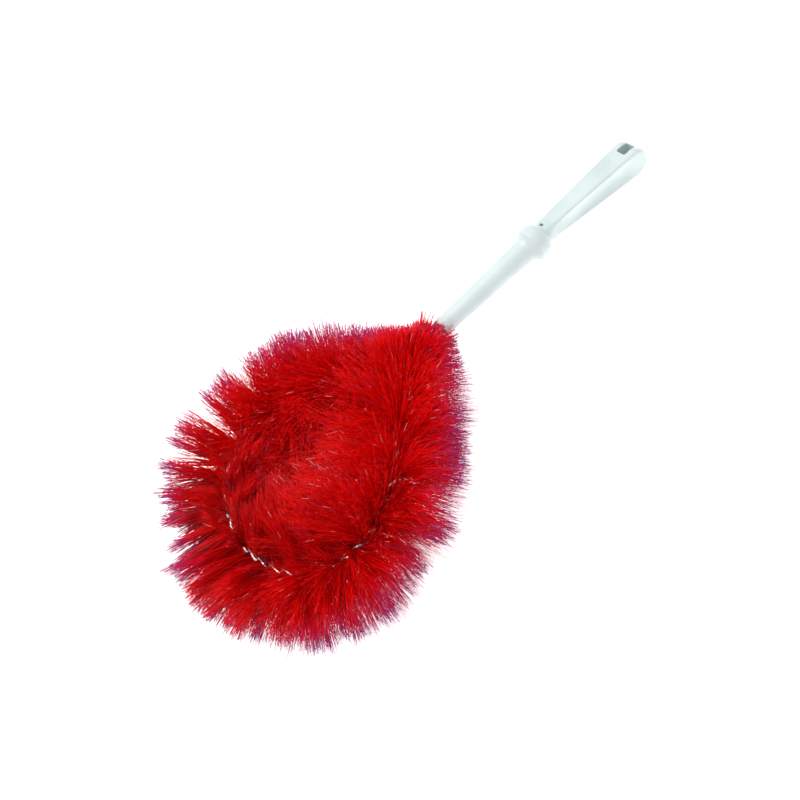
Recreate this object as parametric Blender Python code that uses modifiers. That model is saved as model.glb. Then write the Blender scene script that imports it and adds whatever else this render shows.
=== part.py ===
"""Round twisted-wire brush: a moulded grip, two wires twisted into one loop, and the bristles they hold.

The brush lies at rest: the loop is level, the bristle tips and the end of the grip touch z = 0,
the grip points to +X, and the origin is under the middle of the whole brush.
"""

import math

import bmesh
import bpy
from mathutils import Vector
from mathutils.geometry import interpolate_bezier

GAP = 0.0003

# Handle, measured along its own axis from the nose, where the wires come out.
HANDLE_LENGTH = 0.175
NOSE_DIAMETER = 0.0122
SHANK_DIAMETER = 0.0164
NOSE_ROUNDING = 0.0010
COLLAR_AT = 0.0715
COLLAR_EDGE_AT = 0.0775
COLLAR_BACK_AT = 0.0822
COLLAR_END_AT = 0.0880
COLLAR_DIAMETER = 0.0242
GRIP_ROOT_AT = 0.0850
GRIP_ROOT_DIAMETER = 0.0160
WAIST_FROM = 0.0885
WAIST_AT = 0.0970
WAIST_WIDTH = 0.0116
WAIST_BOTTOM = 0.0066
GRIP_TOP = 0.0064
GRIP_END_WIDTH = 0.0170
GRIP_END_BOTTOM = 0.0143
END_RADIUS = (GRIP_TOP + GRIP_END_BOTTOM) / 2
END_CENTRE_AT = HANDLE_LENGTH - END_RADIUS
END_CENTRE_BELOW = (GRIP_END_BOTTOM - GRIP_TOP) / 2
END_NARROWING = 0.12
GRIP_SQUARENESS = 10.0
SCOOP_DEPTH = 0.0016
SCOOP_REACH = 0.80
SCOOP_START = 0.10
SCOOP_FADE_IN = 0.30
SCOOP_FADE_OUT = 0.15
SECTION_POINTS = 32
TURN_STEPS = 28

# Openings in the handle.
HANG_SLOT_LENGTH = 0.0095
HANG_SLOT_WIDTH = 0.0066
HANG_SLOT_FROM_END = 0.0094
VENT_DIAMETER = 0.0026
VENT_AT = 0.0905
VENT_DEPTH = 0.0050
SOCKET_DEPTH = 0.0360
SOCKET_WIDTH = 0.0104
SOCKET_HEIGHT = 0.0068
CUTTER_OVERSHOOT = 0.0010
WIRE_END_CLEARANCE = 0.0020

# The two wires of the twist, and the loop that they are bent into.
STRAND_DIAMETER = 0.0023
TWIST_RADIUS = 0.00135
TWIST_PITCH = 0.0200
POINTS_PER_TURN = 8
LEG_OFFSET = 0.0026
NOSE_TO_BEND = 0.0080
BEND_TANGENT = 0.0059
STEM_LENGTH = 0.0180
LOOP_LENGTH = 0.1720
LOOP_HALF_WIDTH = 0.0600
WIDEST_AT = 0.1220
SPLIT_HANDLE = 0.0240
SHOULDER_HANDLE = 0.0520
CIRCLE_HANDLE = 0.5523
PATH_STEP = 0.0005

# Bristles, as solid rings of tufts round the twist. The -Y leg fills out sooner than the +Y leg.
BRISTLE_REACH = 0.0440
NECK_REACH_SHARE = 0.34
FULL_REACH_AFTER_FIRST = 0.0720
FULL_REACH_AFTER_LAST = 0.0450
INNER_TRIM = 0.10
BORE_RADIUS = 0.0030
NECK_BORE_SIDE = 0.0036
NECK_BORE_HEIGHT = 0.0035
NECK_START = 0.0060
NECK_END = 0.0250
NECK_RINGS = 2
FIRST_TUFT_AT = 0.0290
TUFT_RINGS = 20
SPANS_PER_RING = 2
RING_SIDES = 16

# The level loop stands one bristle length above the ground, and the grip comes down to it.
LOOP_HEIGHT = BRISTLE_REACH
BEND_TO_END = NOSE_TO_BEND + END_CENTRE_AT
DROP = math.asin((LOOP_HEIGHT - END_RADIUS) / math.hypot(BEND_TO_END, END_CENTRE_BELOW))
DROP -= math.atan2(END_CENTRE_BELOW, BEND_TO_END)
FAR_TIP = LOOP_LENGTH + BRISTLE_REACH
GRIP_TIP = BEND_TO_END * math.cos(DROP) - END_CENTRE_BELOW * math.sin(DROP) + END_RADIUS
ORIGIN_SHIFT = Vector(((FAR_TIP - GRIP_TIP) / 2, 0.0, LOOP_HEIGHT))

UP = Vector((0.0, 0.0, 1.0))
HANDLE_DIRECTION = Vector((math.cos(DROP), 0.0, -math.sin(DROP)))


def clear_scene():
    for item in list(bpy.data.objects):
        bpy.data.objects.remove(item, do_unlink=True)


def new_collection(name):
    collection = bpy.data.collections.new(name)
    bpy.context.scene.collection.children.link(collection)
    return collection


def new_material(name, colour, roughness, metallic=0.0):
    material = bpy.data.materials.new(name)
    material.use_nodes = True
    shader = material.node_tree.nodes["Principled BSDF"]
    shader.inputs["Base Color"].default_value = (*colour, 1.0)
    shader.inputs["Roughness"].default_value = roughness
    shader.inputs["Metallic"].default_value = metallic
    return material


def new_object(name, data, collection, material=None, parent=None):
    item = bpy.data.objects.new(name, data)
    collection.objects.link(item)
    item.parent = parent
    if material is not None:
        data.materials.append(material)
    return item


def new_empty(name, collection, location, rotation=(0.0, 0.0, 0.0), parent=None):
    empty = new_object(name, None, collection, parent=parent)
    empty.location = location
    empty.rotation_euler = rotation
    return empty


def mesh_from(shape, name):
    bmesh.ops.recalc_face_normals(shape, faces=shape.faces)
    mesh = bpy.data.meshes.new(name)
    shape.to_mesh(mesh)
    shape.free()
    return mesh


def hide_cutter(item):
    item.display_type = "WIRE"
    item.hide_render = True


def add_boolean(item, other, operation):
    modifier = item.modifiers.new(other.name, "BOOLEAN")
    modifier.operation = operation
    modifier.solver = "EXACT"
    modifier.object = other


def smooth_by_angle(mesh, degrees):
    mesh.shade_smooth()
    mesh.set_sharp_from_angle(angle=math.radians(degrees))


def eased(value):
    value = min(max(value, 0.0), 1.0)
    return value * value * (3.0 - 2.0 * value)


def blend(first, last, share):
    return first + (last - first) * share


# ---------------------------------------------------------------- handle


def shank_profile():
    """Half outline of the nose, shank and collar, from the collar's inner end down to the nose."""
    nose = NOSE_DIAMETER / 2
    shank = SHANK_DIAMETER / 2
    rim = COLLAR_DIAMETER / 2
    root = GRIP_ROOT_DIAMETER / 2 - GAP
    points = [(0.0, COLLAR_END_AT)]
    for step in range(6):
        angle = math.pi / 2 * step / 5
        height = COLLAR_END_AT - (COLLAR_END_AT - COLLAR_BACK_AT) * (1.0 - math.cos(angle))
        points.append((root + (rim - root) * math.sin(angle), height))
    for step in range(6):
        share = step / 5
        flare = shank + (rim - shank) * (1.0 - share) ** 2
        points.append((flare, blend(COLLAR_EDGE_AT, COLLAR_AT, share)))
    points.append((nose, NOSE_ROUNDING))
    points.append((nose - NOSE_ROUNDING, 0.0))
    points.append((0.0, 0.0))
    return points


def turned_shank(collection, material, parent):
    shape = bmesh.new()
    corners = [shape.verts.new((radius, 0.0, height)) for radius, height in shank_profile()]
    for first, last in zip(corners, corners[1:]):
        shape.edges.new((first, last))
    mesh = bpy.data.meshes.new("handle")
    shape.to_mesh(mesh)
    shape.free()
    handle = new_object("handle", mesh, collection, material, parent)
    turn = handle.modifiers.new("turn", "SCREW")
    turn.steps = TURN_STEPS
    turn.render_steps = TURN_STEPS
    turn.use_merge_vertices = True
    turn.merge_threshold = 0.00001
    turn.use_smooth_shade = True
    return handle


def grip_section(height, middle, half_high, half_wide, squareness, scoop):
    """One closed outline across the grip: local X runs down from its top, local Y across it."""
    points = []
    for step in range(SECTION_POINTS):
        angle = math.tau * step / SECTION_POINTS
        across = math.cos(angle)
        along = math.sin(angle)
        grow = (abs(across) ** squareness + abs(along) ** squareness) ** (-1.0 / squareness)
        level = grow * across
        side = grow * along
        hollow = max(0.0, 1.0 - (level / SCOOP_REACH) ** 2) * scoop
        width = max(half_wide * abs(side) - hollow * min(1.0, abs(side) / 0.9) ** 4, 0.0)
        points.append(Vector((middle + half_high * level, math.copysign(width, along), height)))
    return points


def grip_size(at):
    """Height above the handle's axis, depth below it and half width of the grip at a place."""
    root = GRIP_ROOT_DIAMETER / 2
    if at < WAIST_AT:
        share = eased((at - WAIST_FROM) / (WAIST_AT - WAIST_FROM))
        below = blend(root, WAIST_BOTTOM, share)
        return blend(root, GRIP_TOP, share), below, blend(root, WAIST_WIDTH / 2, share)
    share = (at - WAIST_AT) / (END_CENTRE_AT - WAIST_AT)
    below = blend(WAIST_BOTTOM, GRIP_END_BOTTOM, share)
    return GRIP_TOP, below, blend(WAIST_WIDTH, GRIP_END_WIDTH, share) / 2


def grip_sections():
    places = steps_between(GRIP_ROOT_AT, WAIST_FROM, 1)
    places += steps_between(WAIST_FROM, WAIST_AT, 5)[1:]
    places += steps_between(WAIST_AT, END_CENTRE_AT, 9)[1:]
    sections = []
    for at in places:
        above, below, half_wide = grip_size(at)
        flatness = eased((at - WAIST_FROM) / (2 * (WAIST_AT - WAIST_FROM)))
        squareness = blend(2.0, GRIP_SQUARENESS, flatness)
        share = (at - WAIST_FROM) / (END_CENTRE_AT - WAIST_FROM)
        scoop = SCOOP_DEPTH * eased((share - SCOOP_START) / SCOOP_FADE_IN)
        scoop *= eased((1.0 - share) / SCOOP_FADE_OUT)
        middle = (below - above) / 2
        half_high = (below + above) / 2
        sections.append(grip_section(at, middle, half_high, half_wide, squareness, scoop))
    for degrees in (15, 30, 45, 60, 72, 82):
        angle = math.radians(degrees)
        half_wide = GRIP_END_WIDTH / 2 * (1.0 - END_NARROWING * (1.0 - math.cos(angle)))
        height = END_CENTRE_AT + END_RADIUS * math.sin(angle)
        half_high = END_RADIUS * math.cos(angle)
        middle = END_CENTRE_BELOW
        sections.append(grip_section(height, middle, half_high, half_wide, GRIP_SQUARENESS, 0.0))
    return sections


def loft(sections, name):
    """A closed solid through a row of closed outlines that all have the same number of points."""
    shape = bmesh.new()
    rings = [[shape.verts.new(point) for point in section] for section in sections]
    count = len(rings[0])
    for low, high in zip(rings, rings[1:]):
        for index in range(count):
            after = (index + 1) % count
            shape.faces.new((low[index], low[after], high[after], high[index]))
    shape.faces.new(rings[0])
    shape.faces.new(rings[-1])
    return mesh_from(shape, name)


def round_cutter(name, collection, parent, radii, length, middle, turned=False):
    """A cylinder along the handle's axis, or across it from top to bottom if turned."""
    shape = bmesh.new()
    bmesh.ops.create_cone(
        shape, cap_ends=True, segments=24, radius1=1.0, radius2=1.0, depth=length
    )
    bmesh.ops.scale(shape, vec=(radii[0], radii[1], 1.0), verts=shape.verts)
    cutter = new_object(name, mesh_from(shape, name), collection, parent=parent)
    cutter.location = middle
    if turned:
        cutter.rotation_euler = (0.0, math.pi / 2, 0.0)
    hide_cutter(cutter)
    return cutter


def box_cutter(name, collection, parent, size, middle):
    shape = bmesh.new()
    bmesh.ops.create_cube(shape, size=1.0)
    bmesh.ops.scale(shape, vec=size, verts=shape.verts)
    cutter = new_object(name, mesh_from(shape, name), collection, parent=parent)
    cutter.location = middle
    hide_cutter(cutter)
    return cutter


def build_handle(parts, cutters, material, axis):
    handle = turned_shank(parts, material, axis)
    grip = new_object("grip_body", loft(grip_sections(), "grip_body"), cutters, parent=axis)
    hide_cutter(grip)
    add_boolean(handle, grip, "UNION")
    socket_middle = (0.0, 0.0, SOCKET_DEPTH / 2 - CUTTER_OVERSHOOT)
    socket_radii = (SOCKET_HEIGHT / 2, SOCKET_WIDTH / 2)
    socket = round_cutter(
        "wire_socket", cutters, axis, socket_radii, SOCKET_DEPTH + 2 * CUTTER_OVERSHOOT, socket_middle
    )
    slot_size = (4 * END_RADIUS, HANG_SLOT_WIDTH, HANG_SLOT_LENGTH)
    slot_middle = (0.0, 0.0, HANDLE_LENGTH - HANG_SLOT_FROM_END)
    slot = box_cutter("hang_slot", cutters, axis, slot_size, slot_middle)
    vent_radii = (VENT_DIAMETER / 2, VENT_DIAMETER / 2)
    vent_middle = (-GRIP_ROOT_DIAMETER / 2, 0.0, VENT_AT)
    vent = round_cutter(
        "vent_hole", cutters, axis, vent_radii, 2 * VENT_DEPTH, vent_middle, turned=True
    )
    for cutter in (slot, vent, socket):
        add_boolean(handle, cutter, "DIFFERENCE")
    return handle


# ---------------------------------------------------------------- wire


def bezier(start, start_handle, end_handle, end, count=60):
    return interpolate_bezier(start, start_handle, end_handle, end, count)


def leg_path():
    """One leg, from inside the handle to the far end of the loop, on the +Y side."""
    side = Vector((0.0, LEG_OFFSET, 0.0))
    buried = HANDLE_DIRECTION * (NOSE_TO_BEND + SOCKET_DEPTH - WIRE_END_CLEARANCE) + side
    bend_start = HANDLE_DIRECTION * BEND_TANGENT + side
    bend_end = Vector((-BEND_TANGENT, 0.0, 0.0)) + side
    ease = 0.4 * BEND_TANGENT
    start_handle = bend_start - HANDLE_DIRECTION * (BEND_TANGENT - ease)
    end_handle = bend_end + Vector((BEND_TANGENT - ease, 0.0, 0.0))
    split = Vector((-STEM_LENGTH, LEG_OFFSET, 0.0))
    widest = Vector((-WIDEST_AT, LOOP_HALF_WIDTH, 0.0))
    far_end = Vector((-LOOP_LENGTH, 0.0, 0.0))
    before_widest = widest + Vector((SHOULDER_HANDLE, 0.0, 0.0))
    after_widest = widest - Vector(((LOOP_LENGTH - WIDEST_AT) * CIRCLE_HANDLE, 0.0, 0.0))
    before_far = far_end + Vector((0.0, LOOP_HALF_WIDTH * CIRCLE_HANDLE, 0.0))
    path = [buried]
    path += bezier(bend_start, start_handle, end_handle, bend_end, 12)
    path += bezier(split, split - Vector((SPLIT_HANDLE, 0.0, 0.0)), before_widest, widest)
    path += bezier(widest, after_widest, before_far, far_end)[1:]
    return path


def whole_path():
    leg = leg_path()
    mirrored = [Vector((point.x, -point.y, point.z)) for point in reversed(leg[:-1])]
    return leg + mirrored


def resampled(points, spacing):
    """The same route with its points an even distance apart."""
    reached = [0.0]
    for first, last in zip(points, points[1:]):
        reached.append(reached[-1] + (last - first).length)
    count = round(reached[-1] / spacing)
    even = []
    index = 0
    for step in range(count + 1):
        wanted = reached[-1] * step / count
        while index < len(points) - 2 and reached[index + 1] < wanted:
            index += 1
        share = (wanted - reached[index]) / (reached[index + 1] - reached[index])
        even.append(points[index].lerp(points[index + 1], share))
    return even


def frame_at(points, index):
    """Tangent, inward side and up at a point of the route."""
    tangent = (points[min(index + 1, len(points) - 1)] - points[max(index - 1, 0)]).normalized()
    inward = UP.cross(tangent).normalized()
    return tangent, inward, tangent.cross(inward)


def build_strand(name, phase, collection, material, parent):
    points = resampled(whole_path(), TWIST_PITCH / POINTS_PER_TURN)
    curve = bpy.data.curves.new(name, "CURVE")
    curve.dimensions = "3D"
    curve.bevel_depth = STRAND_DIAMETER / 2
    curve.bevel_resolution = 1
    curve.use_fill_caps = True
    spline = curve.splines.new("POLY")
    spline.points.add(len(points) - 1)
    for index, point in enumerate(points):
        _, inward, above = frame_at(points, index)
        angle = math.tau * index / POINTS_PER_TURN + phase
        place = point + TWIST_RADIUS * (math.cos(angle) * inward + math.sin(angle) * above)
        spline.points[index].co = (*place, 1.0)
        spline.points[index].radius = 1.0
    return new_object(name, curve, collection, material, parent)


# ---------------------------------------------------------------- bristles


def reach_at(distance, full_after):
    """Bristle length at a distance along the wire from the handle's nose."""
    share = min(1.0, distance / full_after)
    return BRISTLE_REACH * blend(NECK_REACH_SHARE, 1.0, share)


def tuft_ring_outline(centre, inward, reach):
    """Outer and bore outlines across one leg, kept on its own side of the middle plane."""
    outer = []
    bore = []
    for step in range(RING_SIDES):
        angle = math.tau * step / RING_SIDES
        toward_middle = max(0.0, math.cos(angle))
        length = reach * (1.0 - INNER_TRIM * toward_middle)
        crossing = abs(inward.y) * toward_middle
        if centre.x > -WIDEST_AT and crossing > 0.001:
            length = min(length, (abs(centre.y) - GAP / 2) / crossing)
        direction = math.cos(angle) * inward + math.sin(angle) * UP
        outer.append(centre + direction * length)
        bore.append(centre + direction * BORE_RADIUS)
    return outer, bore


def neck_ring_outline(centre, limit, reach):
    """Outer and bore outlines round both legs together, no wider than the limit to each side."""
    outer = []
    bore = []
    middle = Vector((centre.x, 0.0, centre.z))
    for step in range(RING_SIDES):
        angle = math.tau * step / RING_SIDES
        across = math.cos(angle)
        length = min(reach, limit / max(abs(across), 0.001))
        outer.append(middle + Vector((0.0, across * length, math.sin(angle) * length)))
        side = across * (centre.y + NECK_BORE_SIDE)
        bore.append(middle + Vector((0.0, side, math.sin(angle) * NECK_BORE_HEIGHT)))
    return outer, bore


def tube_mesh(outlines, name):
    """A closed tube between an outer skin and a bore, through a row of outline pairs."""
    shape = bmesh.new()
    outer = [[shape.verts.new(point) for point in pair[0]] for pair in outlines]
    bore = [[shape.verts.new(point) for point in pair[1]] for pair in outlines]
    for index in range(RING_SIDES):
        after = (index + 1) % RING_SIDES
        for skin in (outer, bore):
            for low, high in zip(skin, skin[1:]):
                shape.faces.new((low[index], low[after], high[after], high[index]))
        for outside, inside in ((outer[0], bore[0]), (outer[-1], bore[-1])):
            shape.faces.new((outside[index], outside[after], inside[after], inside[index]))
    return mesh_from(shape, name)


def add_bristles(name, outlines, collection, material, parent):
    mesh = tube_mesh(outlines, name)
    smooth_by_angle(mesh, 40)
    return new_object(name, mesh, collection, material, parent)


def steps_between(first, last, spans):
    return [blend(first, last, step / spans) for step in range(spans + 1)]


def build_bristles(collection, material, parent):
    route = resampled(whole_path(), PATH_STEP)
    half = len(route) // 2
    nose = min(range(half), key=lambda i: abs(route[i].x - NOSE_TO_BEND))
    first = min(range(half), key=lambda i: abs(route[i].x + FIRST_TUFT_AT))
    tangent, _, _ = frame_at(route, first)
    for number in range(NECK_RINGS):
        length = (NECK_END - NECK_START) / NECK_RINGS
        start = -NECK_START - number * length
        outlines = []
        for place in steps_between(start, start - length + GAP, SPANS_PER_RING):
            index = min(range(half), key=lambda i: abs(route[i].x - place))
            beyond = place + FIRST_TUFT_AT
            limit = route[first].y - beyond * tangent.x / tangent.y - GAP
            centre = Vector((place, route[index].y, 0.0))
            reach = reach_at((index - nose) * PATH_STEP, FULL_REACH_AFTER_FIRST)
            outlines.append(neck_ring_outline(centre, limit, reach))
        add_bristles(f"bristles_neck_{number + 1}", outlines, collection, material, parent)
    last = len(route) - 1 - first
    spacing = (last - first) / TUFT_RINGS
    for number in range(TUFT_RINGS):
        start = first + number * spacing
        outlines = []
        shifts = [GAP / 2] + [0.0] * (SPANS_PER_RING - 1) + [-GAP / 2]
        for place, shift in zip(steps_between(start, start + spacing, SPANS_PER_RING), shifts):
            index = round(place)
            tangent, inward, _ = frame_at(route, index)
            distance = (min(index, len(route) - 1 - index) - nose) * PATH_STEP
            centre = route[index] + tangent * shift
            full_after = FULL_REACH_AFTER_FIRST if index < half else FULL_REACH_AFTER_LAST
            outlines.append(tuft_ring_outline(centre, inward, reach_at(distance, full_after)))
        add_bristles(f"bristles_{number + 1:02d}", outlines, collection, material, parent)


def main():
    clear_scene()
    parts = new_collection("loop_brush")
    cutters = new_collection("loop_brush_cutters")
    plastic = new_material("handle_plastic", (0.86, 0.93, 0.93), 0.38)
    steel = new_material("wire_steel", (0.62, 0.63, 0.65), 0.30, 1.0)
    fibre = new_material("bristle_fibre", (0.62, 0.01, 0.03), 0.45)
    origin = new_empty("brush_origin", parts, ORIGIN_SHIFT)
    axis = new_empty(
        "handle_axis",
        parts,
        HANDLE_DIRECTION * NOSE_TO_BEND,
        (0.0, math.pi / 2 + DROP, 0.0),
        origin,
    )
    build_handle(parts, cutters, plastic, axis)
    build_strand("wire_strand_a", 0.0, parts, steel, origin)
    build_strand("wire_strand_b", math.pi, parts, steel, origin)
    build_bristles(parts, fibre, origin)


main()
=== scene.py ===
"""Looks of the round twisted-wire brush: plastic handle, steel twist and thousands of filaments.

Every size is in metres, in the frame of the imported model. The loop lies level with its
bristle tips on the floor, and the handle slopes down from it towards +X.
"""

import math

import bmesh
import bpy
import numpy as np
from mathutils import Matrix, Quaternion, Vector
from mathutils.geometry import interpolate_bezier


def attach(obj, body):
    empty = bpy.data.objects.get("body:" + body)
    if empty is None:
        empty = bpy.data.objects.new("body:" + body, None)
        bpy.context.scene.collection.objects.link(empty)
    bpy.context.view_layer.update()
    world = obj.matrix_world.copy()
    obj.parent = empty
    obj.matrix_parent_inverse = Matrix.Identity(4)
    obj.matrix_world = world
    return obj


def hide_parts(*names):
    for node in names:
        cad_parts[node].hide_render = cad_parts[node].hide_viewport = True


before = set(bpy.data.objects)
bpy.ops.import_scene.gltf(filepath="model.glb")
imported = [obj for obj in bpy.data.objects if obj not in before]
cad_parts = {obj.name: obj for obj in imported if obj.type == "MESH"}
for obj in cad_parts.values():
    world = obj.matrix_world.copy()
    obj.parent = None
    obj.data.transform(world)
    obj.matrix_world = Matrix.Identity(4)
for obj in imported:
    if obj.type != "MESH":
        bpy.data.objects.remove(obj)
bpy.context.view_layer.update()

SEED = 11

# Handle, measured along its own axis from the nose, where the wires come out.
HANDLE_LENGTH = 0.175
NOSE_DIAMETER = 0.0122
SHANK_DIAMETER = 0.0164
NOSE_ROUNDING = 0.0010
COLLAR_AT = 0.0715
COLLAR_EDGE_AT = 0.0775
COLLAR_BACK_AT = 0.0822
COLLAR_END_AT = 0.0880
COLLAR_DIAMETER = 0.0242
GRIP_ROOT_AT = 0.0850
GRIP_ROOT_DIAMETER = 0.0160
ROOT_GAP = 0.0003
WAIST_FROM = 0.0885
WAIST_AT = 0.0970
WAIST_WIDTH = 0.0116
WAIST_BOTTOM = 0.0066
GRIP_TOP = 0.0064
GRIP_END_WIDTH = 0.0170
GRIP_END_BOTTOM = 0.0143
END_RADIUS = (GRIP_TOP + GRIP_END_BOTTOM) / 2
END_CENTRE_AT = HANDLE_LENGTH - END_RADIUS
END_CENTRE_BELOW = (GRIP_END_BOTTOM - GRIP_TOP) / 2
END_NARROWING = 0.12
GRIP_SQUARENESS = 10.0
SCOOP_DEPTH = 0.0016
SCOOP_REACH = 0.80
SCOOP_START = 0.10
SCOOP_FADE_IN = 0.30
SCOOP_FADE_OUT = 0.15
SECTION_POINTS = 96
CURVE_STEPS = 12
HANG_SLOT_LENGTH = 0.0095
HANG_SLOT_WIDTH = 0.0066
HANG_SLOT_FROM_END = 0.0094
SLOT_CORNER = 0.0008
VENT_DIAMETER = 0.0026
VENT_AT = 0.0905
VENT_DEPTH = 0.0050
SOCKET_DEPTH = 0.0360
SOCKET_WIDTH = 0.0104
SOCKET_HEIGHT = 0.0068
CUTTER_OVERSHOOT = 0.0010
WIRE_END_CLEARANCE = 0.0020
PIN_MARK_DIAMETER = 0.0032
PIN_MARK_DEPTH = 0.0003
PIN_MARK_AT = 0.1530
SKIN_VOXEL = 0.0004
SKIN_SMOOTHING = 5

# The two wires of the twist, and the loop that they are bent into.
STRAND_DIAMETER = 0.0023
TWIST_RADIUS = 0.00135
TWIST_PITCH = 0.0200
CAD_POINTS_PER_TURN = 8
POINTS_PER_TURN = 24
LEG_OFFSET = 0.0026
NOSE_TO_BEND = 0.0080
BEND_TANGENT = 0.0059
STEM_LENGTH = 0.0180
LOOP_LENGTH = 0.1720
LOOP_HALF_WIDTH = 0.0600
WIDEST_AT = 0.1220
SPLIT_HANDLE = 0.0240
SHOULDER_HANDLE = 0.0520
CIRCLE_HANDLE = 0.5523
PATH_STEP = 0.0005

# Where the bristles start and stop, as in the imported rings.
BRISTLE_REACH = 0.0440
NECK_START = 0.0060
NECK_SPLIT = 0.0155
FIRST_TUFT_AT = 0.0290
TUFT_RINGS = 20

# Bristle bunches: each bunch is caught between the wires and stands out on both sides of them.
BUNCH_SPACING = 0.00125
FILAMENTS_PER_SIDE = 56
FILAMENT_RADIUS = 0.00021
FILAMENT_POINTS = 7
FILAMENT_SIDES = 3
FILAMENT_THICKNESS_RANGE = (0.80, 1.15)
FILAMENT_TAPER = 0.55
FILAMENT_UNEVENNESS = 0.05
PULL_GAIN = 1.15
PULL_RELEASE = 0.18
BUNCH_JITTER = 0.3
LEAST_SQUEEZE = 0.1
LEG_POINTS = 60
BEND_POINTS = 12
BEND_EASE = 0.4
SHANK_TURN_STEPS = 96
DRILL_TURN_STEPS = 48
SLOT_CORNER_STEPS = 6
MERGE_DISTANCE = 0.00001
SCOOP_EDGE = 0.9
END_SWEEP = math.radians(86.0)
CAMERA_CLIP = (0.01, 20.0)
BUNCH_HALF_LENGTH = 0.0011
BUNCH_ANGLE_SPREAD = 0.14
BUNCH_LEAN_SPREAD = 0.07
FILAMENT_ANGLE_SPREAD = 0.16
FILAMENT_LEAN_SPREAD = 0.07
BUNCH_PULL = (0.35, 0.85)
BUNCH_TIP_RADIUS = 0.0016
BUNCH_LENGTH = (0.94, 1.02)
BUNCH_CURL = 0.0022
FILAMENT_CURL = 0.0013
SAG = 0.0012
STRAY_SHARE = 0.08
STRAY_LENGTH = (0.92, 1.07)
STRAY_WIDTH = 0.65
STRAY_WILDNESS = 2.2
TIP_SPACING = 1.4

# Tufts, one to each half turn of the twist. They lie apart round one side of the loop,
# where the fill is combed out, and mix into one dense mass everywhere else.
TUFT_SHIFT = 0.0010
TUFT_TURN = 0.12
TUFT_GATHER = (0.55, 0.95)
TUFT_CLOSING = 0.50
TUFT_NARROWING = 0.30
TUFT_LENGTH = (0.94, 1.04)
PARTED_AT = 0.49
PARTED_SPREAD = 0.17
PARTED_GROWTH = 0.11
MIXED_ANGLE_SPREAD = 0.62
MIXED_LEAN_SPREAD = 0.17
MIXED_FILAMENT_SPREAD = 2.6
MIXED_GATHER = 0.05
MIXED_PULL = 0.30

# Bristles that point into the loop are longer, uneven and tangled, and nearly close its middle.
INNER_GROWTH = 0.52
INNER_RAGGED = 0.30
INNER_LEAN_SPREAD = 0.26
INNER_CURL = 0.0050

# Shorter bristles at the neck, lying towards the handle; the -Y leg fills out sooner.
NECK_REACH_SHARE = 0.20
FULL_REACH_AFTER_FIRST = 0.0720
FULL_REACH_AFTER_LAST = 0.0450
NECK_LEAN = 0.95
NECK_LEAN_ENDS = 0.0700

# The level loop stands one bristle length above the floor, and the grip comes down to it.
LOOP_HEIGHT = BRISTLE_REACH
BEND_TO_END = NOSE_TO_BEND + END_CENTRE_AT
DROP = math.asin((LOOP_HEIGHT - END_RADIUS) / math.hypot(BEND_TO_END, END_CENTRE_BELOW))
DROP -= math.atan2(END_CENTRE_BELOW, BEND_TO_END)
FAR_TIP = LOOP_LENGTH + BRISTLE_REACH
GRIP_TIP = BEND_TO_END * math.cos(DROP) - END_CENTRE_BELOW * math.sin(DROP) + END_RADIUS
ORIGIN_SHIFT = Vector(((FAR_TIP - GRIP_TIP) / 2, 0.0, LOOP_HEIGHT))
UP = Vector((0.0, 0.0, 1.0))
HANDLE_DIRECTION = Vector((math.cos(DROP), 0.0, -math.sin(DROP)))

# Camera, as a distance and angles round the point of the loop's plane that it looks at.
CAMERA_TARGET = Vector((-0.0235, -0.0132, 0.0440))
CAMERA_DISTANCE = 0.6656
CAMERA_AZIMUTH = -0.13
CAMERA_ELEVATION = 53.97
CAMERA_ROLL = -48.98
CAMERA_LENS = 49.32

# Studio.
FLOOR_SIZE = 6.0
WORLD_STRENGTH = 0.53
KEY_PLACE = Vector((0.02, 0.32, 1.08))
KEY_SIZE = 0.9
KEY_POWER = 12.8
FLOOR_GLOW = 0.90


def blend(first, last, share):
    return first + (last - first) * share


def eased(value):
    value = min(max(value, 0.0), 1.0)
    return value * value * (3.0 - 2.0 * value)


def eased_array(values):
    values = np.clip(values, 0.0, 1.0)
    return values * values * (3.0 - 2.0 * values)


def linear(red, green, blue):
    """Scene colour of a screen colour whose channels run from 0 to 255."""
    return tuple(
        value / 12.92 if value <= 0.04045 else ((value + 0.055) / 1.055) ** 2.4
        for value in (red / 255.0, green / 255.0, blue / 255.0)
    )


# ---------------------------------------------------------------- materials


def plain_material(name, colour, roughness, metallic=0.0):
    material = bpy.data.materials.new(name)
    material.use_nodes = True
    shader = material.node_tree.nodes["Principled BSDF"]
    shader.inputs["Base Color"].default_value = (*colour, 1.0)
    shader.inputs["Roughness"].default_value = roughness
    shader.inputs["Metallic"].default_value = metallic
    return material, material.node_tree, shader


def noise_node(tree, scale, detail, source):
    noise = tree.nodes.new("ShaderNodeTexNoise")
    noise.inputs["Scale"].default_value = scale
    noise.inputs["Detail"].default_value = detail
    tree.links.new(source, noise.inputs["Vector"])
    return noise


def ramp_node(tree, value, stops):
    ramp = tree.nodes.new("ShaderNodeValToRGB")
    elements = ramp.color_ramp.elements
    while len(elements) < len(stops):
        elements.new(0.5)
    for element, (place, colour) in zip(elements, stops):
        element.position = place
        element.color = (*colour, 1.0)
    tree.links.new(value, ramp.inputs["Fac"])
    return ramp


def range_node(tree, value, low, high):
    spread = tree.nodes.new("ShaderNodeMapRange")
    spread.inputs["To Min"].default_value = low
    spread.inputs["To Max"].default_value = high
    tree.links.new(value, spread.inputs["Value"])
    return spread


def bump_node(tree, height, strength, distance, shader):
    bump = tree.nodes.new("ShaderNodeBump")
    bump.inputs["Strength"].default_value = strength
    bump.inputs["Distance"].default_value = distance
    tree.links.new(height, bump.inputs["Height"])
    tree.links.new(bump.outputs["Normal"], shader.inputs["Normal"])
    return bump


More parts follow.
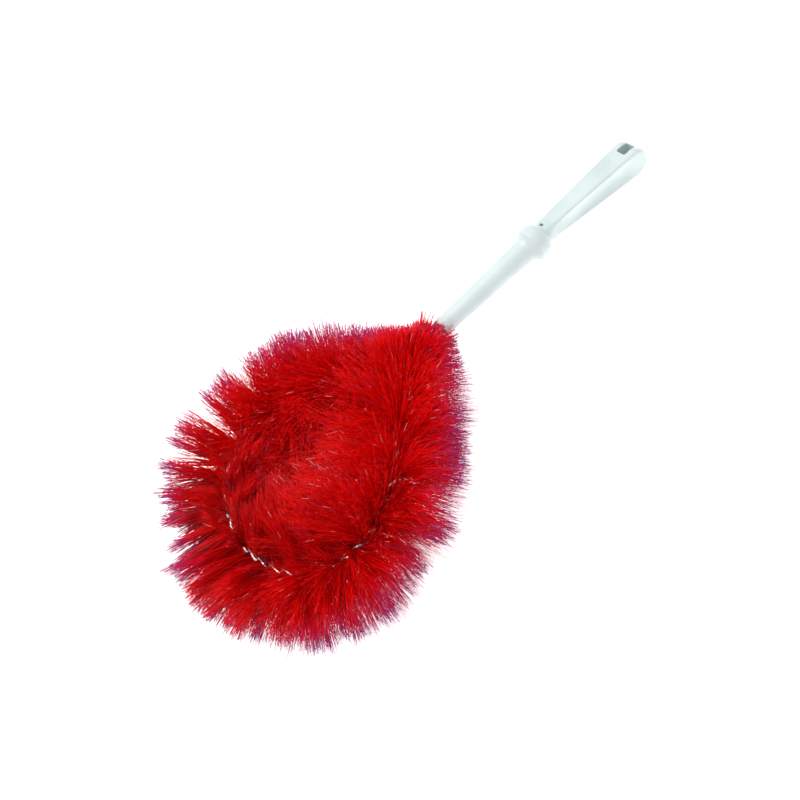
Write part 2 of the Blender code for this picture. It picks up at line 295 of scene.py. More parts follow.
RAMP_STOPS = (0.30, 0.70)
SURFACE_DEPTH = 0.0002
PLASTIC_SHADES = (linear(194, 207, 207), linear(206, 217, 217))
PLASTIC_GLOSS = (0.26, 0.50)
PLASTIC_IOR = 1.49
PLASTIC_COAT = 0.08
PLASTIC_COAT_ROUGHNESS = 0.25
CLOUD_SCALE = 45.0
SCUFF_SCALE = 320.0
SKIN_SCALE = 900.0
SKIN_BUMP = 0.25
STEEL_SHADES = ((0.66, 0.66, 0.65), (0.88, 0.88, 0.86))
STEEL_GLOSS = (0.22, 0.42)
SPANGLE_SCALE = 500.0
SPANGLE_BUMP = 0.3
FILAMENT_IOR = 1.5
FILAMENT_ROUGHNESS = 0.42
PAPER_COLOUR = (0.93, 0.93, 0.93)
PAPER_ROUGHNESS = 0.9
GRAIN_SCALE = 400.0
GRAIN_BUMP = 0.05


def handle_plastic():
    """White polypropylene with a cool cast: faint clouding, handling scuffs and a moulded skin."""
    material, tree, shader = plain_material("moulded_plastic", (0.8, 0.9, 0.9), 0.35)
    place = tree.nodes.new("ShaderNodeTexCoord").outputs["Object"]
    clouds = noise_node(tree, CLOUD_SCALE, 3.0, place)
    tint = ramp_node(
        tree,
        clouds.outputs["Fac"],
        tuple(zip(RAMP_STOPS, PLASTIC_SHADES)),
    )
    tree.links.new(tint.outputs["Color"], shader.inputs["Base Color"])
    scuffs = noise_node(tree, SCUFF_SCALE, 6.0, place)
    gloss = range_node(tree, scuffs.outputs["Fac"], *PLASTIC_GLOSS)
    tree.links.new(gloss.outputs["Result"], shader.inputs["Roughness"])
    skin = noise_node(tree, SKIN_SCALE, 4.0, place)
    bump_node(tree, skin.outputs["Fac"], SKIN_BUMP, SURFACE_DEPTH, shader)
    shader.inputs["IOR"].default_value = PLASTIC_IOR
    shader.inputs["Coat Weight"].default_value = PLASTIC_COAT
    shader.inputs["Coat Roughness"].default_value = PLASTIC_COAT_ROUGHNESS
    return material


def galvanised_steel():
    material, tree, shader = plain_material("galvanised_steel", (0.8, 0.8, 0.78), 0.3, 1.0)
    place = tree.nodes.new("ShaderNodeTexCoord").outputs["Object"]
    spangle = noise_node(tree, SPANGLE_SCALE, 3.0, place)
    tint = ramp_node(
        tree,
        spangle.outputs["Fac"],
        tuple(zip(RAMP_STOPS, STEEL_SHADES)),
    )
    tree.links.new(tint.outputs["Color"], shader.inputs["Base Color"])
    gloss = range_node(tree, spangle.outputs["Fac"], *STEEL_GLOSS)
    tree.links.new(gloss.outputs["Result"], shader.inputs["Roughness"])
    bump_node(tree, spangle.outputs["Fac"], SPANGLE_BUMP, SURFACE_DEPTH, shader)
    return material


# Filament colours from the root to the tip of a bristle on the rim, two for strays, and a painted
# glint: a pale highlight colour.
FILAMENT_COLOURS = (
    ("filament_deep", linear(216, 1, 3)),
    ("filament_red", linear(254, 2, 4)),
    ("filament_crimson", linear(240, 14, 50)),
    ("filament_magenta", linear(214, 22, 92)),
    ("filament_purple", linear(140, 40, 140)),
    ("filament_stray", linear(140, 60, 100)),
    ("filament_stray_tip", linear(125, 90, 135)),
    ("filament_painted_glint", linear(255, 196, 204)),
)
TONE_STOPS = (0.62, 0.80, 0.93)
PLAIN_TONE = 0.50
TONE_SPREAD = 0.05
# Deeper-red bristles mix in at random; their share rises towards the loop's far end as painted shade.
DEEP_SHARE_AT_NECK = 0.10
DEEP_SHARE_AT_SHADED_END = 0.62
PAINTED_SHADE_DEEPEST_AFTER = 0.2500
STRAY_FROM = 0.45
STRAY_TIP_FROM = 0.70
GLINT_SHARE = 0.006
GLINT_FROM = 0.60
RIM_TILT = math.radians(25.0)
RIM_HALF_ANGLE = math.radians(28.0)
RIM_FADE = math.radians(40.0)
NECK_COLOURED_TO = 0.0450
FILAMENT_SPECULAR = 0.25
DEEP, RED, CRIMSON, MAGENTA, PURPLE, STRAY, STRAY_TIP, GLINT = range(len(FILAMENT_COLOURS))


def filament_materials():
    made = []
    for name, colour in FILAMENT_COLOURS:
        material, _, shader = plain_material(name, colour, FILAMENT_ROUGHNESS)
        shader.inputs["IOR"].default_value = FILAMENT_IOR
        shader.inputs["Specular IOR Level"].default_value = FILAMENT_SPECULAR
        made.append(material)
    return made


# ---------------------------------------------------------------- handle


def shank_profile():
    """Half outline of the nose, shank and collar, from the collar's inner end down to the nose."""
    nose = NOSE_DIAMETER / 2
    shank = SHANK_DIAMETER / 2
    rim = COLLAR_DIAMETER / 2
    root = GRIP_ROOT_DIAMETER / 2 - ROOT_GAP
    points = [(0.0, COLLAR_END_AT)]
    for step in range(CURVE_STEPS + 1):
        angle = math.pi / 2 * step / CURVE_STEPS
        height = COLLAR_END_AT - (COLLAR_END_AT - COLLAR_BACK_AT) * (1.0 - math.cos(angle))
        points.append((root + (rim - root) * math.sin(angle), height))
    for step in range(CURVE_STEPS + 1):
        share = step / CURVE_STEPS
        flare = shank + (rim - shank) * (1.0 - share) ** 2
        points.append((flare, blend(COLLAR_EDGE_AT, COLLAR_AT, share)))
    for step in range(CURVE_STEPS + 1):
        angle = math.pi / 2 * step / CURVE_STEPS
        radius = nose - NOSE_ROUNDING * (1.0 - math.cos(angle))
        points.append((radius, NOSE_ROUNDING * (1.0 - math.sin(angle))))
    points.append((0.0, 0.0))
    return points


def turned_solid(profile, name, sides):
    shape = bmesh.new()
    corners = [shape.verts.new((radius, 0.0, height)) for radius, height in profile]
    edges = [shape.edges.new(pair) for pair in zip(corners, corners[1:])]
    bmesh.ops.spin(
        shape,
        geom=corners + edges,
        cent=(0.0, 0.0, 0.0),
        axis=(0.0, 0.0, 1.0),
        angle=math.tau,
        steps=sides,
    )
    bmesh.ops.remove_doubles(shape, verts=shape.verts, dist=MERGE_DISTANCE)
    return mesh_from(shape, name)


def grip_section(height, middle, half_high, half_wide, squareness, scoop):
    """One closed outline across the grip: local X runs down from its top, local Y across it."""
    points = []
    for step in range(SECTION_POINTS):
        angle = math.tau * step / SECTION_POINTS
        across = math.cos(angle)
        along = math.sin(angle)
        grow = (abs(across) ** squareness + abs(along) ** squareness) ** (-1.0 / squareness)
        level = grow * across
        side = grow * along
        hollow = max(0.0, 1.0 - (level / SCOOP_REACH) ** 2) * scoop
        width = max(half_wide * abs(side) - hollow * min(1.0, abs(side) / SCOOP_EDGE) ** 4, 0.0)
        points.append(Vector((middle + half_high * level, math.copysign(width, along), height)))
    return points


def grip_size(at):
    """Height above the handle's axis, depth below it and half width of the grip at a place."""
    root = GRIP_ROOT_DIAMETER / 2
    if at < WAIST_AT:
        share = eased((at - WAIST_FROM) / (WAIST_AT - WAIST_FROM))
        below = blend(root, WAIST_BOTTOM, share)
        return blend(root, GRIP_TOP, share), below, blend(root, WAIST_WIDTH / 2, share)
    share = (at - WAIST_AT) / (END_CENTRE_AT - WAIST_AT)
    below = blend(WAIST_BOTTOM, GRIP_END_BOTTOM, share)
    return GRIP_TOP, below, blend(WAIST_WIDTH, GRIP_END_WIDTH, share) / 2


def grip_sections():
    sections = []
    for at in np.linspace(GRIP_ROOT_AT, END_CENTRE_AT, 4 * CURVE_STEPS + 1):
        above, below, half_wide = grip_size(at)
        flatness = eased((at - WAIST_FROM) / (2 * (WAIST_AT - WAIST_FROM)))
        squareness = blend(2.0, GRIP_SQUARENESS, flatness)
        share = (at - WAIST_FROM) / (END_CENTRE_AT - WAIST_FROM)
        scoop = SCOOP_DEPTH * eased((share - SCOOP_START) / SCOOP_FADE_IN)
        scoop *= eased((1.0 - share) / SCOOP_FADE_OUT)
        middle = (below - above) / 2
        half_high = (below + above) / 2
        sections.append(grip_section(at, middle, half_high, half_wide, squareness, scoop))
    for step in range(1, CURVE_STEPS + 1):
        angle = END_SWEEP * step / CURVE_STEPS
        half_wide = GRIP_END_WIDTH / 2 * (1.0 - END_NARROWING * (1.0 - math.cos(angle)))
        height = END_CENTRE_AT + END_RADIUS * math.sin(angle)
        half_high = END_RADIUS * math.cos(angle)
        middle = END_CENTRE_BELOW
        sections.append(grip_section(height, middle, half_high, half_wide, GRIP_SQUARENESS, 0.0))
    return sections


def mesh_from(shape, name):
    bmesh.ops.recalc_face_normals(shape, faces=shape.faces)
    mesh = bpy.data.meshes.new(name)
    shape.to_mesh(mesh)
    shape.free()
    return mesh


def loft(sections, name):
    """A closed solid through a row of closed outlines that all have the same number of points."""
    shape = bmesh.new()
    rings = [[shape.verts.new(point) for point in section] for section in sections]
    count = len(rings[0])
    for low, high in zip(rings, rings[1:]):
        for index in range(count):
            after = (index + 1) % count
            shape.faces.new((low[index], low[after], high[after], high[index]))
    shape.faces.new(rings[0])
    shape.faces.new(rings[-1])
    return mesh_from(shape, name)


def new_object(name, data):
    item = bpy.data.objects.new(name, data)
    bpy.context.scene.collection.objects.link(item)
    return item


def cylinder_tool(name, radii, length, middle, turned=False):
    """A cylinder along the handle's axis, or across it from top to bottom if turned."""
    shape = bmesh.new()
    bmesh.ops.create_cone(
        shape, cap_ends=True, segments=DRILL_TURN_STEPS, radius1=1.0, radius2=1.0, depth=length
    )
    bmesh.ops.scale(shape, vec=(radii[0], radii[1], 1.0), verts=shape.verts)
    turn = Matrix.Rotation(math.pi / 2, 4, "Y") if turned else Matrix.Identity(4)
    bmesh.ops.transform(shape, matrix=Matrix.Translation(middle) @ turn, verts=shape.verts)
    return new_object(name, mesh_from(shape, name))


def slot_tool():
    """The hanging slot's cutter: a box through the grip with rounded upright corners."""
    shape = bmesh.new()
    bmesh.ops.create_cube(shape, size=1.0)
    size = (4 * END_RADIUS, HANG_SLOT_WIDTH, HANG_SLOT_LENGTH)
    bmesh.ops.scale(shape, vec=size, verts=shape.verts)
    upright = [e for e in shape.edges if abs(e.verts[0].co.x - e.verts[1].co.x) > HANG_SLOT_LENGTH]
    bmesh.ops.bevel(
        shape, geom=upright, offset=SLOT_CORNER, segments=SLOT_CORNER_STEPS, profile=0.5, affect="EDGES"
    )
    middle = Vector((0.0, 0.0, HANDLE_LENGTH - HANG_SLOT_FROM_END))
    bmesh.ops.translate(shape, vec=middle, verts=shape.verts)
    return new_object("slot_tool", mesh_from(shape, "slot_tool"))


def add_boolean(item, other, operation):
    modifier = item.modifiers.new(other.name, "BOOLEAN")
    modifier.operation = operation
    modifier.solver = "EXACT"
    modifier.object = other


def baked(item, tools):
    """The item with its modifiers applied, as a new mesh, and its tools taken away."""
    graph = bpy.context.evaluated_depsgraph_get()
    mesh = bpy.data.meshes.new_from_object(item.evaluated_get(graph))
    item.modifiers.clear()
    item.data = mesh
    for tool in tools:
        bpy.data.objects.remove(tool, do_unlink=True)


def build_handle(material):
    handle = new_object("handle_skin", turned_solid(shank_profile(), "handle_skin", SHANK_TURN_STEPS))
    grip = new_object("grip_tool", loft(grip_sections(), "grip_tool"))
    socket = cylinder_tool(
        "socket_tool",
        (SOCKET_HEIGHT / 2, SOCKET_WIDTH / 2),
        SOCKET_DEPTH + 2 * CUTTER_OVERSHOOT,
        Vector((0.0, 0.0, SOCKET_DEPTH / 2 - CUTTER_OVERSHOOT)),
    )
    vent = cylinder_tool(
        "vent_tool",
        (VENT_DIAMETER / 2, VENT_DIAMETER / 2),
        2 * VENT_DEPTH,
        Vector((-GRIP_ROOT_DIAMETER / 2, 0.0, VENT_AT)),
        turned=True,
    )
    pin_mark = cylinder_tool(
        "pin_mark_tool",
        (PIN_MARK_DIAMETER / 2, PIN_MARK_DIAMETER / 2),
        2 * PIN_MARK_DEPTH,
        Vector((-GRIP_TOP, 0.0, PIN_MARK_AT)),
        turned=True,
    )
    tools = [grip, slot_tool(), vent, socket, pin_mark]
    add_boolean(handle, grip, "UNION")
    for tool in tools[1:]:
        add_boolean(handle, tool, "DIFFERENCE")
    skin = handle.modifiers.new("skin", "REMESH")
    skin.mode = "VOXEL"
    skin.voxel_size = SKIN_VOXEL
    skin.use_smooth_shade = True
    soften = handle.modifiers.new("soften", "SMOOTH")
    soften.factor = 0.5
    soften.iterations = SKIN_SMOOTHING
    baked(handle, tools)
    lay_along = Matrix.Rotation(math.pi / 2 + DROP, 4, "Y")
    nose = ORIGIN_SHIFT + HANDLE_DIRECTION * NOSE_TO_BEND
    handle.data.transform(Matrix.Translation(nose) @ lay_along)
    handle.data.materials.clear()
    handle.data.materials.append(material)
    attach(handle, "root")
    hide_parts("handle")


# ---------------------------------------------------------------- wire


def bezier(start, start_handle, end_handle, end, count=LEG_POINTS):
    return interpolate_bezier(start, start_handle, end_handle, end, count)


def leg_path():
    """One leg, from inside the handle to the far end of the loop, on the +Y side."""
    side = Vector((0.0, LEG_OFFSET, 0.0))
    buried = HANDLE_DIRECTION * (NOSE_TO_BEND + SOCKET_DEPTH - WIRE_END_CLEARANCE) + side
    bend_start = HANDLE_DIRECTION * BEND_TANGENT + side
    bend_end = Vector((-BEND_TANGENT, 0.0, 0.0)) + side
    ease = BEND_EASE * BEND_TANGENT
    start_handle = bend_start - HANDLE_DIRECTION * (BEND_TANGENT - ease)
    end_handle = bend_end + Vector((BEND_TANGENT - ease, 0.0, 0.0))
    split = Vector((-STEM_LENGTH, LEG_OFFSET, 0.0))
    widest = Vector((-WIDEST_AT, LOOP_HALF_WIDTH, 0.0))
    far_end = Vector((-LOOP_LENGTH, 0.0, 0.0))
    before_widest = widest + Vector((SHOULDER_HANDLE, 0.0, 0.0))
    after_widest = widest - Vector(((LOOP_LENGTH - WIDEST_AT) * CIRCLE_HANDLE, 0.0, 0.0))
    before_far = far_end + Vector((0.0, LOOP_HALF_WIDTH * CIRCLE_HANDLE, 0.0))
    path = [buried]
    path += bezier(bend_start, start_handle, end_handle, bend_end, BEND_POINTS)
    path += bezier(split, split - Vector((SPLIT_HANDLE, 0.0, 0.0)), before_widest, widest)
    path += bezier(widest, after_widest, before_far, far_end)[1:]
    return path


def whole_path():
    leg = leg_path()
    mirrored = [Vector((point.x, -point.y, point.z)) for point in reversed(leg[:-1])]
    return leg + mirrored


class Route:
    """The wires' shared centre line, as evenly spaced points with a frame at each."""

    def __init__(self):
        corners = np.array([tuple(point) for point in whole_path()])
        steps = np.linalg.norm(np.diff(corners, axis=0), axis=1)
        reached = np.concatenate([[0.0], np.cumsum(steps)])
        self.length = reached[-1]
        count = round(self.length / PATH_STEP)
        self.places = np.linspace(0.0, self.length, count + 1)
        local = np.stack([np.interp(self.places, reached, corners[:, k]) for k in range(3)], 1)
        self.local = local
        self.centres = local + np.array(ORIGIN_SHIFT)
        self.tangents = unit(np.gradient(local, axis=0))
        self.inward = unit(np.cross(np.array(UP), self.tangents))
        self.above = np.cross(self.tangents, self.inward)
        self.turns = round(self.length / TWIST_PITCH * CAD_POINTS_PER_TURN) / CAD_POINTS_PER_TURN

    def sample(self, rows, places):
        return np.stack([np.interp(places, self.places, rows[:, k]) for k in range(3)], 1)

    def phase(self, places):
        """Angle of the first wire round the centre line, from the inward side towards up."""
        return math.tau * self.turns * places / self.length

    def place_at(self, back):
        """Distance along the route where its first leg is this far behind the bend."""
        half = len(self.places) // 2
        return self.places[np.argmin(np.abs(self.local[:half, 0] + back))]

    def from_nose(self, places):
        nose = self.place_at(-NOSE_TO_BEND)
        return np.minimum(places, self.length - places) - nose


def unit(rows):
    return rows / np.linalg.norm(rows, axis=1, keepdims=True)


def build_strand(route, name, turn, material):
    count = round(route.turns * POINTS_PER_TURN)
    places = np.linspace(0.0, route.length, count + 1)
    angle = (route.phase(places) + turn)[:, None]
    inward = route.sample(route.inward, places)
    above = route.sample(route.above, places)
    offset = TWIST_RADIUS * (np.cos(angle) * inward + np.sin(angle) * above)
    line = route.sample(route.centres, places) + offset
    curve = bpy.data.curves.new(name, "CURVE")
    curve.dimensions = "3D"
    curve.bevel_depth = STRAND_DIAMETER / 2
    curve.bevel_resolution = 4
    curve.use_fill_caps = True
    spline = curve.splines.new("POLY")
    spline.points.add(count)
    for point, place in zip(spline.points, line):
        point.co = (*place, 1.0)
        point.radius = 1.0
    spline.use_smooth = True
    curve.materials.append(material)
    strand = new_object(name, curve)
    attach(strand, "root")
    return strand


# ---------------------------------------------------------------- bristles


class Tufts:
    """The half turns of the twist: each gathers one pointed tuft on each side of the wires."""

    def __init__(self, rng, route):
        self.route = route
        self.half_turn = route.length / (2 * route.turns)
        size = (math.ceil(2 * route.turns), 2)
        self.shift = rng.normal(0.0, TUFT_SHIFT, size)
        self.turn = rng.normal(0.0, TUFT_TURN, size)
        self.gather = rng.uniform(*TUFT_GATHER, size)
        middle = (np.arange(size[0]) + 0.5) * self.half_turn / route.length
        self.parted = np.exp(-(((middle - PARTED_AT) / PARTED_SPREAD) ** 2))
        self.length = rng.uniform(*TUFT_LENGTH, size)
        self.length *= 1.0 + PARTED_GROWTH * self.parted[:, None]

    def place_bunches(self, place, side):
        """Place, angle, lean, length and parting of bunches, drawn to the middles of their tufts."""
        number = (np.floor(place / self.half_turn).astype(int), (side > 0.0).astype(int))
        middle = (number[0] + 0.5) * self.half_turn
        middle_angle = self.route.phase(middle) + side
        parted = self.parted[number[0]]
        swing = (self.route.phase(place) + side - middle_angle) * (1.0 - TUFT_CLOSING * parted)
        gather = self.gather[number] * blend(MIXED_GATHER, 1.0, parted)
        lean = gather * (middle + self.shift[number] - place) / BRISTLE_REACH
        place = middle + (place - middle) * (1.0 - TUFT_NARROWING * parted)
        return place, middle_angle + swing + self.turn[number], lean, self.length[number], parted


def half_bunches(rng, tufts, start, stop):
    """One row for each side of each bunch between two distances along the route."""
    count = max(1, round((stop - start) / BUNCH_SPACING))
    even = start + (np.arange(count) + 0.5) * (stop - start) / count
    place = np.repeat(even, 2) + rng.uniform(-BUNCH_JITTER, BUNCH_JITTER, 2 * count) * BUNCH_SPACING
    side = np.tile([0.5, -0.5], count) * math.pi
    place, angle, lean, length, parted = tufts.place_bunches(place, side)
    angle += rng.normal(0.0, 1.0, 2 * count) * blend(MIXED_ANGLE_SPREAD, BUNCH_ANGLE_SPREAD, parted)
    inside = np.clip(np.cos(angle), 0.0, 1.0)
    outer_spread = blend(MIXED_LEAN_SPREAD, BUNCH_LEAN_SPREAD, parted)
    lean += rng.normal(0.0, 1.0, 2 * count) * blend(outer_spread, INNER_LEAN_SPREAD, inside)
    curl = rng.normal(0.0, 1.0, (2 * count, 3)) * blend(BUNCH_CURL, INNER_CURL, inside)[:, None]
    length *= rng.uniform(*BUNCH_LENGTH, 2 * count)
    length *= 1.0 - INNER_RAGGED * inside * rng.random(2 * count)
    return {
        "place": place,
        "angle": angle,
        "lean": lean,
        "pull": rng.uniform(*BUNCH_PULL, 2 * count) * blend(MIXED_PULL, 1.0, parted),
        "length": length,
        "curl": curl,
        "spread": blend(MIXED_FILAMENT_SPREAD, 1.0, parted),
    }


def neck_lean(route, place):
    """Extra lean towards the handle close to the neck; its sign follows the leg's direction."""
    distance = route.from_nose(place)
    strength = NECK_LEAN * (1.0 - eased_array(distance / NECK_LEAN_ENDS))
    return np.where(place < route.length / 2, -strength, strength)


def direction(route, place, angle, lean):
    """Unit direction of a bristle that leaves the wire at a place, turned round it and leaned."""
    inward = route.sample(route.inward, place)
    above = route.sample(route.above, place)
    tangent = route.sample(route.tangents, place)
    leg_gap = np.abs(route.sample(route.centres, place)[:, 1]) * 2.0
    squeeze = np.clip(leg_gap / BRISTLE_REACH, LEAST_SQUEEZE, 1.0)
    across = np.cos(angle)
    across = np.where(across > 0.0, across * squeeze, across)[:, None]
    around = unit(across * inward + np.sin(angle)[:, None] * above)
    lean = (lean + neck_lean(route, place))[:, None]
    return np.cos(lean) * around + np.sin(lean) * tangent, across[:, 0]


def reach_at(route, place):
    """Bristle length at a place; the two legs fill out to the full length at different rates."""
    first_leg = place < route.length / 2
    full_after = np.where(first_leg, FULL_REACH_AFTER_FIRST, FULL_REACH_AFTER_LAST)
    share = np.clip(route.from_nose(place) / full_after, 0.0, 1.0)
    return BRISTLE_REACH * blend(NECK_REACH_SHARE, 1.0, share)


def filament_shares():
    """Places of a filament's points along it, from 0 to 1, closer together towards the tip."""
    return 1.0 - (1.0 - np.linspace(0.0, 1.0, FILAMENT_POINTS)) ** TIP_SPACING


def tip_colouring(route, place, angle):
    """1 for bristles on the outer rim and at the neck, whose tips turn purple, down to 0 elsewhere."""
    tilt = np.where(place < route.length / 2, -RIM_TILT, RIM_TILT)
    off = np.abs((angle - tilt) % math.tau - math.pi)
    rim = 1.0 - eased_array((off - RIM_HALF_ANGLE) / RIM_FADE)
    neck = 1.0 - eased_array(route.from_nose(place) / NECK_COLOURED_TO)
    return np.maximum(rim, neck)


def deep_share_with_painted_shade(route, place):
    """How many bristles are of the deeper red: few at the neck, most at the loop's far end, so that
    painted shade darkens the far end.
    """
    return blend(
        DEEP_SHARE_AT_NECK,
        DEEP_SHARE_AT_SHADED_END,
        eased_array(route.from_nose(place) / PAINTED_SHADE_DEEPEST_AFTER),
    )


def filament_lines(rng, route, bunches):
    """Points, radii, tip colouring, share of deep red (with painted shade towards the far end) and
    stray mark of every filament.
    """
    rows = np.repeat(np.arange(bunches["place"].size), FILAMENTS_PER_SIDE)
    total = rows.size
    stray = rng.random(total) < STRAY_SHARE
    wild = np.where(stray, STRAY_WILDNESS, 1.0)
    spread = bunches["spread"][rows]
    place = bunches["place"][rows] + rng.uniform(-1.0, 1.0, total) * BUNCH_HALF_LENGTH
    angle = bunches["angle"][rows] + rng.normal(0.0, FILAMENT_ANGLE_SPREAD, total) * spread
    lean = bunches["lean"][rows] + rng.normal(0.0, FILAMENT_LEAN_SPREAD, total) * wild * spread
    own, across = direction(route, place, angle, lean)
    shared, _ = direction(
        route, bunches["place"][rows], bunches["angle"][rows], bunches["lean"][rows]
    )
    root = route.sample(route.centres, place)
    bunch_root = route.sample(route.centres, bunches["place"][rows])
    growth = 1.0 + INNER_GROWTH * np.clip(across, 0.0, 1.0) ** 2
    length = reach_at(route, place) * growth * bunches["length"][rows]
    uneven = 1.0 - np.abs(rng.normal(0.0, FILAMENT_UNEVENNESS, total))
    length *= np.where(stray, rng.uniform(*STRAY_LENGTH, total), uneven)
    pull = np.where(stray, 0.0, bunches["pull"][rows])
    fan = rng.normal(0.0, BUNCH_TIP_RADIUS, (total, 3))
    curl = bunches["curl"][rows] + rng.normal(0.0, FILAMENT_CURL, (total, 3)) * wild[:, None]
    share = filament_shares()[None, :, None]
    straight = root[:, None] + (length[:, None] * own)[:, None] * share
    gathered = bunch_root[:, None] + (length[:, None] * shared + fan)[:, None] * share
    gained = eased_array(share * PULL_GAIN)
    weight = pull[:, None, None] * gained * (1.0 - PULL_RELEASE * share**4)
    line = straight + (gathered - straight) * weight
    line += curl[:, None] * share**2 * (length / BRISTLE_REACH)[:, None, None]
    line[:, :, 2] -= SAG * share[:, :, 0] ** 2
    thickness = rng.uniform(*FILAMENT_THICKNESS_RANGE, total)
    radius = FILAMENT_RADIUS * thickness * np.where(stray, STRAY_WIDTH, 1.0)
    taper = 1.0 - FILAMENT_TAPER * share[0, :, 0] ** 2
    radii = radius[:, None] * taper
    line[:, :, 2] = np.maximum(line[:, :, 2], 2.0 * radii)
    colouring = tip_colouring(route, place, angle)
    return line, radii, colouring, deep_share_with_painted_shade(route, place), stray


def filament_tones(rng, colouring, deep_with_painted_shade, stray):
    """Material index of each stretch of each filament."""
    share = filament_shares()
    middle = (share[1:] + share[:-1]) / 2
    value = middle[None, :] * blend(PLAIN_TONE, 1.0, colouring)[:, None]
    value = value + rng.normal(0.0, TONE_SPREAD, (len(value), 1))
    body = np.where(rng.random(len(value)) < deep_with_painted_shade, DEEP, RED)
    tones = np.repeat(body[:, None], len(middle), axis=1)
    for tone, stop in zip((CRIMSON, MAGENTA, PURPLE), TONE_STOPS):
        tones = np.where(value > stop, tone, tones)
    free = stray[:, None] & (value > STRAY_FROM)
    tones = np.where(free, np.where(value > STRAY_TIP_FROM, STRAY_TIP, STRAY), tones)
    # A few stretches near the tips get the pale colour as painted highlights (glints).
    glint = (rng.random(value.shape) < GLINT_SHARE) & (middle[None, :] > GLINT_FROM)
    return np.where(glint, GLINT, tones).astype(np.int32)


def filament_mesh(rng, name, line, radii, tones):
    """Every filament as a closed, tapered, three-sided rod."""
    total, points, _ = line.shape
    along = unit(line[:, -1] - line[:, 0])
    first = unit(np.cross(along, rng.normal(0.0, 1.0, (total, 3))))
    second = np.cross(along, first)
    turns = math.tau * np.arange(FILAMENT_SIDES) / FILAMENT_SIDES
    around = (
        np.cos(turns)[None, :, None] * first[:, None] + np.sin(turns)[None, :, None] * second[:, None]
    )
    corners = line[:, :, None] + radii[:, :, None, None] * around[:, None]
    number = np.arange(total * points * FILAMENT_SIDES).reshape(total, points, FILAMENT_SIDES)
    after = np.roll(number, -1, axis=2)
    quads = np.stack([number[:, :-1], after[:, :-1], after[:, 1:], number[:, 1:]], -1)
    quads = quads.reshape(-1, 4)
    caps = np.concatenate([number[:, 0, ::-1], number[:, -1]])
    loops = np.concatenate([quads.ravel(), caps.ravel()]).astype(np.int32)
    sizes = np.concatenate([np.full(len(quads), 4), np.full(len(caps), FILAMENT_SIDES)])
    starts = np.concatenate([[0], np.cumsum(sizes)[:-1]]).astype(np.int32)
    side_tones = np.repeat(tones.ravel(), FILAMENT_SIDES)
    slots = np.concatenate([side_tones, tones[:, 0], tones[:, -1]]).astype(np.int32)
    mesh = bpy.data.meshes.new(name)
    mesh.vertices.add(corners.size // 3)
    mesh.vertices.foreach_set("co", corners.astype(np.float32).ravel())
    mesh.loops.add(loops.size)
    mesh.loops.foreach_set("vertex_index", loops)
    mesh.polygons.add(sizes.size)
    mesh.polygons.foreach_set("loop_start", starts)
    mesh.polygons.foreach_set("material_index", slots)
    mesh.update(calc_edges=True)
    mesh.shade_smooth()
    return mesh


def add_bristles(rng, tufts, number_name, stretches, materials):
    """One packed ring's filaments, from one or more stretches of the route."""
    parts = [half_bunches(rng, tufts, start, stop) for start, stop in stretches]
    bunches = {key: np.concatenate([part[key] for part in parts]) for key in parts[0]}
    line, radii, colouring, deep_with_painted_shade, stray = filament_lines(rng, tufts.route, bunches)
    tones = filament_tones(rng, colouring, deep_with_painted_shade, stray)
    name = "filaments_" + number_name
    mesh = filament_mesh(rng, name, line, radii, tones)
    for material in materials:
        mesh.materials.append(material)
    piece = new_object(name, mesh)
    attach(piece, "root")
    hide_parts("bristles_" + number_name)


def build_bristles(route, materials):
    rng = np.random.default_rng(SEED)
    tufts = Tufts(rng, route)
    neck = [route.place_at(back) for back in (NECK_START, NECK_SPLIT, FIRST_TUFT_AT)]
    for number in (1, 2):
        near = (neck[number - 1], neck[number])
        far = (route.length - near[1], route.length - near[0])
        add_bristles(rng, tufts, f"neck_{number}", (near, far), materials)
    edges = np.linspace(neck[2], route.length - neck[2], TUFT_RINGS + 1)
    for number in range(TUFT_RINGS):
        stretch = (edges[number], edges[number + 1])
        add_bristles(rng, tufts, f"{number + 1:02d}", (stretch,), materials)


# ---------------------------------------------------------------- studio


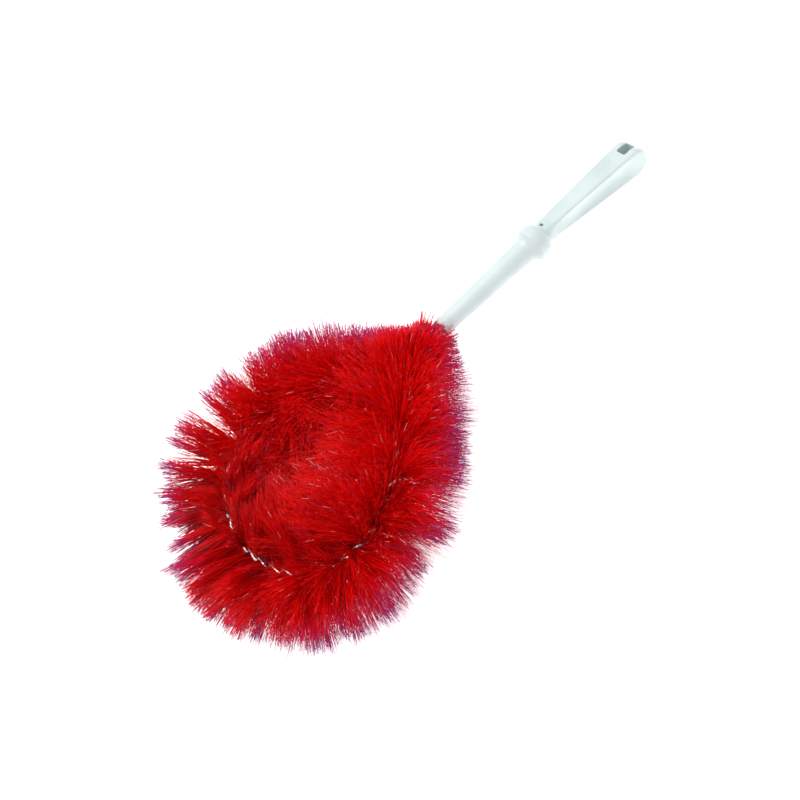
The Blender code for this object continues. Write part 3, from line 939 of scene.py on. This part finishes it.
def build_floor():
    material, tree, shader = plain_material("floor_paper", PAPER_COLOUR, PAPER_ROUGHNESS)
    place = tree.nodes.new("ShaderNodeTexCoord").outputs["Object"]
    grain = noise_node(tree, GRAIN_SCALE, 2.0, place)
    bump_node(tree, grain.outputs["Fac"], GRAIN_BUMP, SURFACE_DEPTH, shader)
    shader.inputs["Emission Color"].default_value = (1.0, 1.0, 1.0, 1.0)
    shader.inputs["Emission Strength"].default_value = FLOOR_GLOW
    shape = bmesh.new()
    bmesh.ops.create_grid(shape, x_segments=1, y_segments=1, size=FLOOR_SIZE / 2)
    floor = new_object("floor", mesh_from(shape, "floor"))
    floor.data.materials.append(material)


def build_light():
    world = bpy.data.worlds.new("studio")
    bpy.context.scene.world = world
    world.use_nodes = True
    background = world.node_tree.nodes["Background"]
    background.inputs["Color"].default_value = (1.0, 1.0, 1.0, 1.0)
    background.inputs["Strength"].default_value = WORLD_STRENGTH
    lamp = bpy.data.lights.new("key", "AREA")
    lamp.shape = "DISK"
    lamp.size = KEY_SIZE
    lamp.energy = KEY_POWER
    key = new_object("key", lamp)
    key.location = KEY_PLACE
    key.rotation_mode = "QUATERNION"
    key.rotation_quaternion = (KEY_PLACE - CAMERA_TARGET).to_track_quat("Z", "Y")


def build_camera():
    azimuth = math.radians(CAMERA_AZIMUTH)
    elevation = math.radians(CAMERA_ELEVATION)
    back = Vector(
        (
            math.sin(azimuth) * math.cos(elevation),
            -math.cos(azimuth) * math.cos(elevation),
            math.sin(elevation),
        )
    )
    lens = bpy.data.cameras.new("camera")
    lens.lens = CAMERA_LENS
    lens.clip_start = CAMERA_CLIP[0]
    lens.clip_end = CAMERA_CLIP[1]
    camera = new_object("camera", lens)
    camera.location = CAMERA_TARGET + back * CAMERA_DISTANCE
    camera.rotation_mode = "QUATERNION"
    roll = Quaternion(back, math.radians(CAMERA_ROLL))
    camera.rotation_quaternion = roll @ back.to_track_quat("Z", "Y")
    bpy.context.scene.camera = camera
    bpy.context.scene.view_settings.view_transform = "Standard"


def main():
    route = Route()
    build_handle(handle_plastic())
    steel = galvanised_steel()
    for letter, turn in (("a", 0.0), ("b", math.pi)):
        strand = build_strand(route, "twist_wire_" + letter, turn, steel)
        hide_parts("wire_strand_" + letter)
    build_bristles(route, filament_materials())
    build_floor()
    build_light()
    build_camera()


main()
